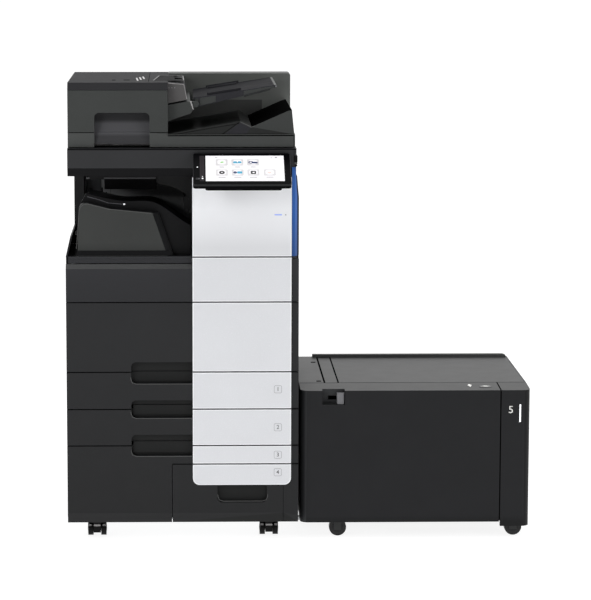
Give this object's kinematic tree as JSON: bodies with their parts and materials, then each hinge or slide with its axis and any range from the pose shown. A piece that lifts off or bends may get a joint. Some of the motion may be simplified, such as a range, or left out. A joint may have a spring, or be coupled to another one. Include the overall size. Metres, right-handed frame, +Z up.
{
  "type": "photocopier",
  "caption": "Floor-standing office colour copier with document feeder, tilting touch panel, in-body output tray, drawers and a side paper unit.",
  "frame": {"origin": "centre of the machine's footprint, on the floor", "axes": "+Z up, +Y to the rear, front faces -Y, +X to the right towards the side paper unit"},
  "size_m": [1.2354, 0.704, 1.221],
  "materials": {
    "body_dark": "fine texture",
    "lid_dark": "fine texture",
    "pale": "satin",
    "blue": "satin",
    "black_plastic": "satin",
    "key_plastic": "satin",
    "lever_grey": "satin",
    "screen": "gloss",
    "clear_glass": "gloss",
    "steel": "galvanised",
    "rubber": "matte",
    "wheel_rubber": "matte",
    "pad_white": "matte"
  },
  "bodies": {
    "cabinet": {"main_frame": "steel", "left_cover": "body_dark", "right_cover": "body_dark", "rear_cover": "body_dark", "upper_casing": "body_dark", "tower_front": "pale", "blue_accent": "blue", "inner_tray": "body_dark", "exit_unit": "black_plastic", "scanner_housing": "body_dark", "platen_glass": "clear_glass", "laser_unit": "black_plastic", "drum_units": "black_plastic", "transfer_belt_unit": "black_plastic", "toner_bottles": "black_plastic", "fuser_unit": "steel", "power_supply": "steel", "power_inlet": "black_plastic", "rear_caster_forks": "black_plastic"},
    "exit_roller": {"exit_rollers": "rubber"},
    "carriage": {"scanner_carriage": "black_plastic"},
    "panel": {"control_panel": "black_plastic", "touch_screen": "screen"},
    "panel_key": {"power_key": "key_plastic"},
    "lid": {"df_base": "lid_dark", "platen_pad": "pad_white", "df_feeder": "lid_dark"},
    "feeder_top": {"feeder_cover": "lid_dark"},
    "feed_roller": {"feed_rollers": "rubber"},
    "original_tray": {"document_tray": "lid_dark"},
    "guide_front": {"front_guide": "lid_dark"},
    "guide_rear": {"rear_guide": "lid_dark"},
    "door_upper": {"upper_door": "body_dark", "upper_door_panel": "pale"},
    "door_lower": {"lower_door": "body_dark", "lower_door_panel": "pale"},
    "drawer_1": {"tray_1": "body_dark", "tray_1_panel": "pale"},
    "drawer_2": {"tray_2": "body_dark", "tray_2_panel": "pale"},
    "drawer_3": {"tray_3": "body_dark", "tray_3_panel": "pale"},
    "drawer_4": {"tray_4": "body_dark", "tray_4_panel": "pale"},
    "door_right": {"right_door": "body_dark"},
    "bypass": {"bypass_tray": "body_dark"},
    "side_unit": {"lu_shell": "body_dark", "lu_front": "body_dark", "lu_column": "body_dark"},
    "side_lid": {"lu_lid": "body_dark"},
    "side_lift": {"lu_lift_plate": "steel"},
    "side_lever": {"lu_lever": "lever_grey"},
    "side_key": {"lu_button": "key_plastic"},
    "side_wheels_left": {"lu_left_wheels": "wheel_rubber"},
    "side_wheels_right": {"lu_right_wheels": "wheel_rubber"},
    "caster_left": {"left_caster_fork": "black_plastic"},
    "caster_left_wheels": {"left_caster_wheels": "wheel_rubber"},
    "caster_right": {"right_caster_fork": "black_plastic"},
    "caster_right_wheels": {"right_caster_wheels": "wheel_rubber"},
    "casters_rear_wheels": {"rear_caster_wheels": "wheel_rubber"}
  },
  "joints": [
    {"name": "exit_roller_spin", "type": "hinge", "parent": "cabinet", "child": "exit_roller", "pos_m": [-0.29825, 0.02602, 0.872], "axis": [0, 1, 0], "continuous": true},
    {"name": "carriage_scan", "type": "slide", "parent": "cabinet", "child": "carriage", "axis": [1, 0, 0], "range_m": [0, 0.44]},
    {"name": "panel_tilt", "type": "hinge", "parent": "cabinet", "child": "panel", "pos_m": [-0.15525, -0.23398, 1.006], "axis": [1, 0, 0], "range_deg": [-5, 25]},
    {"name": "power_key_press", "type": "slide", "parent": "panel", "child": "panel_key", "axis": [0, 0.4772, -0.8788], "range_m": [0, 0.0012], "stiffness_N_per_m": 300},
    {"name": "lid_lift", "type": "hinge", "parent": "cabinet", "child": "lid", "pos_m": [-0.31025, 0.33302, 1.054], "axis": [-1, 0, 0], "range_deg": [0, 60]},
    {"name": "feeder_cover_open", "type": "hinge", "parent": "lid", "child": "feeder_top", "pos_m": [-0.61025, 0.05602, 1.2014], "axis": [0, -1, 0], "range_deg": [0, 60]},
    {"name": "feed_roller_spin", "type": "hinge", "parent": "lid", "child": "feed_roller", "pos_m": [-0.40025, 0.03602, 1.168], "axis": [0, 1, 0], "continuous": true},
    {"name": "original_tray_lift", "type": "hinge", "parent": "lid", "child": "original_tray", "pos_m": [-0.27025, 0.02602, 1.163], "axis": [0, -1, 0], "range_deg": [0, 20]},
    {"name": "front_guide_slide", "type": "slide", "parent": "original_tray", "child": "guide_front", "axis": [0, 1, 0], "range_m": [0, 0.09]},
    {"name": "rear_guide_slide", "type": "slide", "parent": "original_tray", "child": "guide_rear", "axis": [0, 1, 0], "range_m": [-0.09, 0]},
    {"name": "upper_door_open", "type": "hinge", "parent": "cabinet", "child": "door_upper", "pos_m": [-0.31025, -0.21398, 0.6484], "axis": [1, 0, 0], "range_deg": [0, 90]},
    {"name": "lower_door_open", "type": "hinge", "parent": "cabinet", "child": "door_lower", "pos_m": [-0.31025, -0.21398, 0.4616], "axis": [1, 0, 0], "range_deg": [0, 90]},
    {"name": "drawer_1_pull", "type": "slide", "parent": "cabinet", "child": "drawer_1", "axis": [0, -1, 0], "range_m": [0, 0.4]},
    {"name": "drawer_2_pull", "type": "slide", "parent": "cabinet", "child": "drawer_2", "axis": [0, -1, 0], "range_m": [0, 0.4]},
    {"name": "drawer_3_pull", "type": "slide", "parent": "cabinet", "child": "drawer_3", "axis": [0, -1, 0], "range_m": [0, 0.4]},
    {"name": "drawer_4_pull", "type": "slide", "parent": "cabinet", "child": "drawer_4", "axis": [0, -1, 0], "range_m": [0, 0.4]},
    {"name": "right_door_open", "type": "hinge", "parent": "cabinet", "child": "door_right", "pos_m": [-0.00575, 0.05102, 0.4845], "axis": [0, 1, 0], "range_deg": [0, 88]},
    {"name": "bypass_open", "type": "hinge", "parent": "door_right", "child": "bypass", "pos_m": [-0.00425, 0.05102, 0.6009], "axis": [0, 1, 0], "range_deg": [0, 75]},
    {"name": "side_unit_undock", "type": "slide", "parent": "cabinet", "child": "side_unit", "axis": [1, 0, 0], "range_m": [0, 0.22]},
    {"name": "side_lid_open", "type": "hinge", "parent": "side_unit", "child": "side_lid", "pos_m": [0.36275, 0.33302, 0.405], "axis": [-1, 0, 0], "range_deg": [0, 75]},
    {"name": "lift_plate_raise", "type": "slide", "parent": "side_unit", "child": "side_lift", "axis": [0, 0, 1], "range_m": [0, 0.28]},
    {"name": "dock_lever_pull", "type": "slide", "parent": "side_unit", "child": "side_lever", "axis": [-1, 0, 0], "range_m": [0, 0.018], "stiffness_N_per_m": 150},
    {"name": "lift_key_press", "type": "slide", "parent": "side_unit", "child": "side_key", "axis": [0, 0, -1], "range_m": [0, 0.0015], "stiffness_N_per_m": 300},
    {"name": "side_wheels_left_roll", "type": "hinge", "parent": "side_unit", "child": "side_wheels_left", "pos_m": [0.10575, 0.08202, 0.023], "axis": [0, 1, 0], "continuous": true},
    {"name": "side_wheels_right_roll", "type": "hinge", "parent": "side_unit", "child": "side_wheels_right", "pos_m": [0.57875, 0.08202, 0.023], "axis": [0, 1, 0], "continuous": true},
    {"name": "caster_left_swivel", "type": "hinge", "parent": "cabinet", "child": "caster_left", "pos_m": [-0.54125, -0.15398, 0.043], "axis": [0, 0, 1], "continuous": true},
    {"name": "caster_left_roll", "type": "hinge", "parent": "caster_left", "child": "caster_left_wheels", "pos_m": [-0.54125, -0.13998, 0.019], "axis": [1, 0, 0], "continuous": true},
    {"name": "caster_right_swivel", "type": "hinge", "parent": "cabinet", "child": "caster_right", "pos_m": [-0.07925, -0.15398, 0.043], "axis": [0, 0, 1], "continuous": true},
    {"name": "caster_right_roll", "type": "hinge", "parent": "caster_right", "child": "caster_right_wheels", "pos_m": [-0.07925, -0.13998, 0.019], "axis": [1, 0, 0], "continuous": true},
    {"name": "casters_rear_roll", "type": "hinge", "parent": "cabinet", "child": "casters_rear_wheels", "pos_m": [-0.31025, 0.29502, 0.019], "axis": [1, 0, 0], "continuous": true}
  ],
  "couplings": [
    {"joint": "rear_guide_slide", "follows": "front_guide_slide", "ratio": -1}
  ]
}
